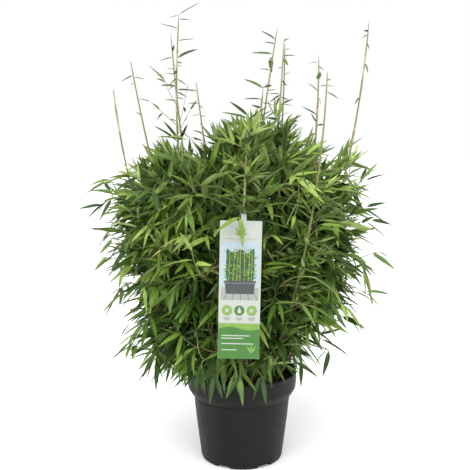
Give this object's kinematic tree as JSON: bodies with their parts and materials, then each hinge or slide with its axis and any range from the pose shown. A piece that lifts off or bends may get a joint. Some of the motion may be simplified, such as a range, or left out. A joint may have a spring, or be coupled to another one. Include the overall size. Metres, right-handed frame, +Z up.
{
  "type": "potted bamboo",
  "caption": "Clump-forming bamboo in a round nursery pot: fanned canes, a dense crown of narrow leaves, tall leafy shoots above it and a long hanging care label.",
  "frame": {"origin": "middle of the pot's flat underside, on the ground", "axes": "+Z up along the pot's axis; -Y is the front, where the care label hangs"},
  "size_m": [0.7415, 0.656, 1.144],
  "materials": {
    "pot": "charcoal recycled polypropylene with a soft sheen",
    "soil": "moist dark growing medium of bark and peat",
    "cane": "smooth green to tan cane with sheaths",
    "foliage": "narrow mid-green leaves, satin above",
    "label": "thin printed plastic in white and green"
  },
  "bodies": {
    "root": {"cane_centre": "cane", "cane_centre_back": "cane", "cane_centre_front": "cane", "cane_centre_twin": "cane", "cane_crest_1": "cane", "cane_far_left": "cane", "cane_far_right": "cane", "cane_label_cane": "cane", "cane_left": "cane", "cane_left_back": "cane", "cane_middle_1": "cane", "cane_middle_2": "cane", "cane_middle_3": "cane", "cane_middle_4": "cane", "cane_middle_5": "cane", "cane_middle_6": "cane", "cane_middle_7": "cane", "cane_right_front": "cane", "cane_right_low": "cane", "cane_tallest": "cane", "cane_tallest_twin": "cane", "cane_upper_1": "cane", "cane_upper_2": "cane", "cane_upper_3": "cane", "cane_upper_4": "cane", "cane_upper_5": "cane", "foliage_crest_1": "foliage", "foliage_low_1": "foliage", "foliage_low_2": "foliage", "foliage_low_3": "foliage", "foliage_low_4": "foliage", "foliage_low_5": "foliage", "foliage_low_6": "foliage", "foliage_low_7": "foliage", "foliage_middle_1": "foliage", "foliage_middle_2": "foliage", "foliage_middle_3": "foliage", "foliage_middle_4": "foliage", "foliage_middle_5": "foliage", "foliage_middle_6": "foliage", "foliage_middle_7": "foliage", "foliage_upper_1": "foliage", "foliage_upper_2": "foliage", "foliage_upper_3": "foliage", "foliage_upper_4": "foliage", "foliage_upper_5": "foliage", "label": "label", "pot": "pot", "soil": "soil", "spray_centre": "foliage", "spray_centre_back": "foliage", "spray_centre_front": "foliage", "spray_far_right": "foliage", "spray_label_cane": "foliage", "spray_left": "foliage", "spray_left_back": "foliage", "spray_right_front": "foliage", "spray_right_low": "foliage", "spray_tallest": "foliage", "spray_tallest_twin": "foliage"}
  },
  "joints": []
}
